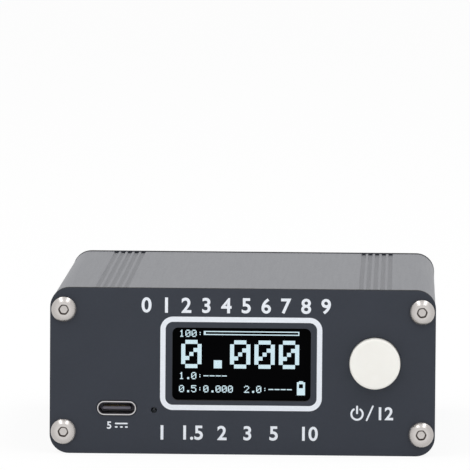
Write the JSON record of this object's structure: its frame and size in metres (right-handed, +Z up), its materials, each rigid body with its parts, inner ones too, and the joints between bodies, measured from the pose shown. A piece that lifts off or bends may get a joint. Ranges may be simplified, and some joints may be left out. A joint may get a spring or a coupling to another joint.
{
  "type": "swr meter",
  "caption": "Small inline SWR and power meter: split extruded case, OLED window, round push button, USB-C port, and two threaded coaxial sockets at the rear.",
  "frame": {"origin": "centre of the case's underside, on the surface that it rests on", "axes": "+Z up, -Y out of the front panel, +Y out of the rear panel along the coaxial sockets, +X to the right seen from the front"},
  "size_m": [0.088, 0.1208, 0.038],
  "materials": {
    "anodised_case": "fine matte anodised",
    "panel_black": "matte solder mask on glass-epoxy laminate",
    "steel_fastener": "bright stainless",
    "display_glass": "black backed glass",
    "board_blue": "solder mask",
    "board_green": "solder mask",
    "plastic_black": "moulded",
    "plastic_white": "moulded, fine satin",
    "plastic_grey": "moulded",
    "sheet_steel": "tinned",
    "dome_steel": "polished spring steel",
    "led_epoxy": "clear cast",
    "battery_foil": "laminated foil pouch",
    "lead_red": "flexible insulation",
    "lead_black": "flexible insulation",
    "ferrite": "sintered, dull",
    "copper_wire": "enamelled wire",
    "copper_line": "drawn bar",
    "nickel": "nickel plate",
    "gold": "gold flash",
    "ptfe": "waxy white"
  },
  "bodies": {
    "case": {"upper_shell": "anodised_case", "lower_shell": "anodised_case", "front_panel": "panel_black", "rear_panel": "panel_black", "oled_glass": "display_glass", "oled_module_board": "board_blue", "oled_header": "plastic_black", "display_board": "board_green", "board_header": "plastic_black", "switch_cover": "sheet_steel", "switch_dome": "dome_steel", "switch_base": "plastic_black", "usb_shell": "sheet_steel", "usb_tongue": "plastic_grey", "charge_led": "led_epoxy", "main_board": "board_green", "microcontroller": "plastic_black", "charge_chip": "plastic_black", "battery_pack": "battery_foil", "battery_lead_red": "lead_red", "battery_lead_black": "lead_black", "battery_plug": "plastic_white", "battery_socket": "plastic_white", "coupler_core_forward": "ferrite", "coupler_core_reflected": "ferrite", "coupler_winding_forward": "copper_wire", "coupler_winding_reflected": "copper_wire", "rf_line": "copper_line", "front_panel_screw_1": "steel_fastener", "rear_panel_screw_1": "steel_fastener", "front_panel_screw_2": "steel_fastener", "rear_panel_screw_2": "steel_fastener", "front_panel_screw_3": "steel_fastener", "rear_panel_screw_3": "steel_fastener", "front_panel_screw_4": "steel_fastener", "rear_panel_screw_4": "steel_fastener", "tx_socket_body": "nickel", "tx_socket_insulator": "ptfe", "tx_socket_contact": "gold", "tx_flange_screw_1": "steel_fastener", "tx_flange_nut_1": "steel_fastener", "tx_flange_screw_2": "steel_fastener", "tx_flange_nut_2": "steel_fastener", "tx_flange_screw_3": "steel_fastener", "tx_flange_nut_3": "steel_fastener", "tx_flange_screw_4": "steel_fastener", "tx_flange_nut_4": "steel_fastener", "ant_socket_body": "nickel", "ant_socket_insulator": "ptfe", "ant_socket_contact": "gold", "ant_flange_screw_1": "steel_fastener", "ant_flange_nut_1": "steel_fastener", "ant_flange_screw_2": "steel_fastener", "ant_flange_nut_2": "steel_fastener", "ant_flange_screw_3": "steel_fastener", "ant_flange_nut_3": "steel_fastener", "ant_flange_screw_4": "steel_fastener", "ant_flange_nut_4": "steel_fastener"},
    "button": {"button_cap": "plastic_white", "switch_stem": "plastic_black"}
  },
  "joints": [
    {"name": "button_press", "type": "slide", "parent": "case", "child": "button", "axis": [0, 1, 0], "range_m": [0, 0.00035], "stiffness_N_per_m": 1000, "springref_m": -0.0018}
  ]
}
